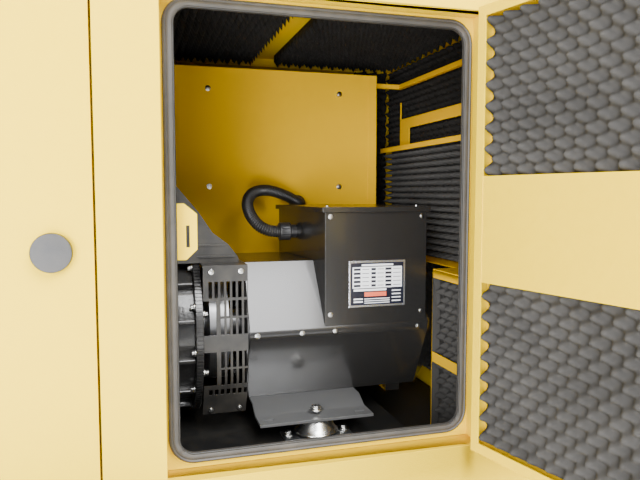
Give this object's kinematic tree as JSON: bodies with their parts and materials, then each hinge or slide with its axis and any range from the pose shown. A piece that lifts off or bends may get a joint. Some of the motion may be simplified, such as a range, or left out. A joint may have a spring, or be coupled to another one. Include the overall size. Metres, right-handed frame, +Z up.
{
  "type": "towable diesel generator",
  "caption": "Sound-proofed canopy on a single-axle trailer with its alternator door swung open on the terminal box, slotted guard and foam-lined walls",
  "frame": {"origin": "the centre of the bounding box at ground level, with the alternator door open", "axes": "+X along the trailer towards its rear, +Y across it away from the open door, +Z up"},
  "size_m": [3.24, 1.8269, 1.697],
  "materials": {
    "canopy_yellow": "gloss yellow powder coat",
    "chassis_grey": "satin dark grey paint",
    "set_black": "semi-gloss black paint",
    "guard_grey": "satin dark grey powder coat",
    "zinc": "bright zinc plate",
    "bare_steel": "machined steel",
    "galvanised": "hot-dip galvanised",
    "seal_rubber": "grey ribbed sponge rubber",
    "black_rubber": "matt black rubber",
    "tyre_rubber": "treaded tyre rubber",
    "foam": "charcoal egg-crate foam",
    "conduit_black": "corrugated nylon",
    "gland_black": "moulded nylon",
    "plate_metal": "printed aluminium plate with blank fields",
    "engine_paint": "painted casting",
    "exhaust_steel": "heat-worn steel",
    "radiator_black": "black core",
    "tank_black": "black paint",
    "battery_case": "moulded case",
    "fascia_grey": "light grey paint",
    "socket_blue": "moulded socket",
    "stop_red": "moulded red knob",
    "lamp_red": "red lens",
    "latch_black": "moulded handle",
    "fan_plastic": "moulded fan"
  },
  "bodies": {
    "trailer": {"chassis_frame": "chassis_grey", "axle": "chassis_grey", "base_frame": "tank_black", "fuel_tank": "tank_black", "side_frame_near": "canopy_yellow", "side_frame_far": "canopy_yellow", "roof": "canopy_yellow", "rear_end_panel": "canopy_yellow", "front_end_panel": "canopy_yellow", "outlet_box": "canopy_yellow", "control_compartment": "canopy_yellow", "acoustic_foam": "foam", "door_seals": "seal_rubber", "alternator_casing": "set_black", "alternator_stator": "bare_steel", "alternator_end_cover": "set_black", "terminal_box": "set_black", "terminal_box_lid": "set_black", "rating_plate": "plate_metal", "fan_guard": "guard_grey", "alternator_feet": "set_black", "vibration_mounts": "zinc", "cable_conduit": "conduit_black", "conduit_glands": "gland_black", "flywheel_housing": "engine_paint", "engine_block": "engine_paint", "cylinder_head": "engine_paint", "engine_auxiliaries": "engine_paint", "exhaust_system": "exhaust_steel", "radiator": "radiator_black", "battery": "battery_case", "control_fascia": "fascia_grey", "socket_outlets": "socket_blue", "lifting_frame": "galvanised", "mudguards": "tank_black", "rear_lamps": "lamp_red", "panel_fasteners": "zinc"},
    "rotating_set": {"rotor_shaft": "bare_steel"},
    "fan": {"cooling_fan": "fan_plastic"},
    "alternator_door": {"rear_door": "canopy_yellow", "rear_door_foam": "foam"},
    "alternator_door_latch": {"rear_door_latch": "latch_black"},
    "engine_door": {"front_door": "canopy_yellow"},
    "engine_door_latch": {"front_door_latch": "latch_black"},
    "panel_door": {"control_door": "canopy_yellow"},
    "near_wheel": {"tyre_near": "tyre_rubber", "wheel_rim_near": "galvanised"},
    "far_wheel": {"tyre_far": "tyre_rubber", "wheel_rim_far": "galvanised"},
    "jockey_tube": {"jockey_inner_tube": "galvanised"},
    "jockey_castor": {"jockey_fork": "galvanised"},
    "jockey_roller": {"jockey_wheel": "black_rubber"},
    "jockey_handle": {"jockey_crank": "galvanised"},
    "near_stand": {"prop_stand_near": "galvanised"},
    "far_stand": {"prop_stand_far": "galvanised"},
    "handbrake": {"handbrake_lever": "galvanised"},
    "towing_head": {"coupling_head": "galvanised"},
    "towing_handle": {"coupling_handle": "galvanised"},
    "stop_button": {"emergency_stop": "stop_red"},
    "filler_cap": {"fuel_cap": "gland_black"}
  },
  "joints": [
    {"name": "rotor_spin", "type": "hinge", "parent": "trailer", "child": "rotating_set", "pos_m": [0.59, 0.18359, 0.829], "axis": [1, 0, 0], "continuous": true},
    {"name": "fan_spin", "type": "hinge", "parent": "trailer", "child": "fan", "pos_m": [0.02, 0.18359, 0.96], "axis": [1, 0, 0], "continuous": true},
    {"name": "alternator_door_swing", "type": "hinge", "parent": "trailer", "child": "alternator_door", "pos_m": [1.332, -0.34541, 1], "axis": [0, 0, 1], "range_deg": [-103, 0]},
    {"name": "alternator_latch_turn", "type": "hinge", "parent": "alternator_door", "child": "alternator_door_latch", "pos_m": [1.44853, -0.85013, 1.06], "axis": [0.9744, 0.225, 0], "range_deg": [0, 90]},
    {"name": "engine_door_swing", "type": "hinge", "parent": "trailer", "child": "engine_door", "pos_m": [-0.215, -0.34541, 1], "axis": [0, 0, -1], "range_deg": [0, 110]},
    {"name": "engine_latch_turn", "type": "hinge", "parent": "engine_door", "child": "engine_door_latch", "pos_m": [0.586, -0.33641, 1.06], "axis": [0, 1, 0], "range_deg": [0, 90]},
    {"name": "panel_door_swing", "type": "hinge", "parent": "trailer", "child": "panel_door", "pos_m": [0.745, 0.71259, 1], "axis": [0, 0, 1], "range_deg": [0, 110]},
    {"name": "near_wheel_spin", "type": "hinge", "parent": "trailer", "child": "near_wheel", "pos_m": [0.6, -0.41641, 0.297], "axis": [0, 1, 0], "continuous": true},
    {"name": "far_wheel_spin", "type": "hinge", "parent": "trailer", "child": "far_wheel", "pos_m": [0.6, 0.78359, 0.297], "axis": [0, 1, 0], "continuous": true},
    {"name": "jockey_raise", "type": "slide", "parent": "trailer", "child": "jockey_tube", "axis": [0, 0, 1], "range_m": [0, 0.19]},
    {"name": "jockey_swivel", "type": "hinge", "parent": "jockey_tube", "child": "jockey_castor", "pos_m": [-0.86, -0.06841, 0.2], "axis": [0, 0, 1], "continuous": true},
    {"name": "jockey_wheel_spin", "type": "hinge", "parent": "jockey_castor", "child": "jockey_roller", "pos_m": [-0.86, -0.06841, 0.1], "axis": [0, 1, 0], "continuous": true},
    {"name": "jockey_crank_turn", "type": "hinge", "parent": "trailer", "child": "jockey_handle", "pos_m": [-0.86, -0.06841, 0.7], "axis": [0, 0, 1], "range_deg": [0, 3421]},
    {"name": "near_stand_raise", "type": "slide", "parent": "trailer", "child": "near_stand", "axis": [0, 0, 1], "range_m": [0, 0.13]},
    {"name": "far_stand_raise", "type": "slide", "parent": "trailer", "child": "far_stand", "axis": [0, 0, 1], "range_m": [0, 0.13]},
    {"name": "handbrake_pull", "type": "hinge", "parent": "trailer", "child": "handbrake", "pos_m": [-1.28, 0.23359, 0.435], "axis": [0, -1, 0], "range_deg": [0, 60]},
    {"name": "overrun_slide", "type": "slide", "parent": "trailer", "child": "towing_head", "axis": [1, 0, 0], "range_m": [0, 0.06], "stiffness_N_per_m": 20000},
    {"name": "towing_handle_lift", "type": "hinge", "parent": "towing_head", "child": "towing_handle", "pos_m": [-1.505, 0.18359, 0.4675], "axis": [0, -1, 0], "range_deg": [0, 50]},
    {"name": "stop_press", "type": "slide", "parent": "trailer", "child": "stop_button", "axis": [0, -1, 0], "range_m": [0, 0.005]},
    {"name": "filler_cap_turn", "type": "hinge", "parent": "trailer", "child": "filler_cap", "pos_m": [-0.05, -0.19641, 0.69], "axis": [0, 0, 1], "range_deg": [0, 120]}
  ],
  "couplings": [
    {"joint": "jockey_crank_turn", "follows": "jockey_raise", "rad_per_m": 314.16},
    {"joint": "fan_spin", "follows": "rotor_spin", "ratio": 1.1}
  ]
}
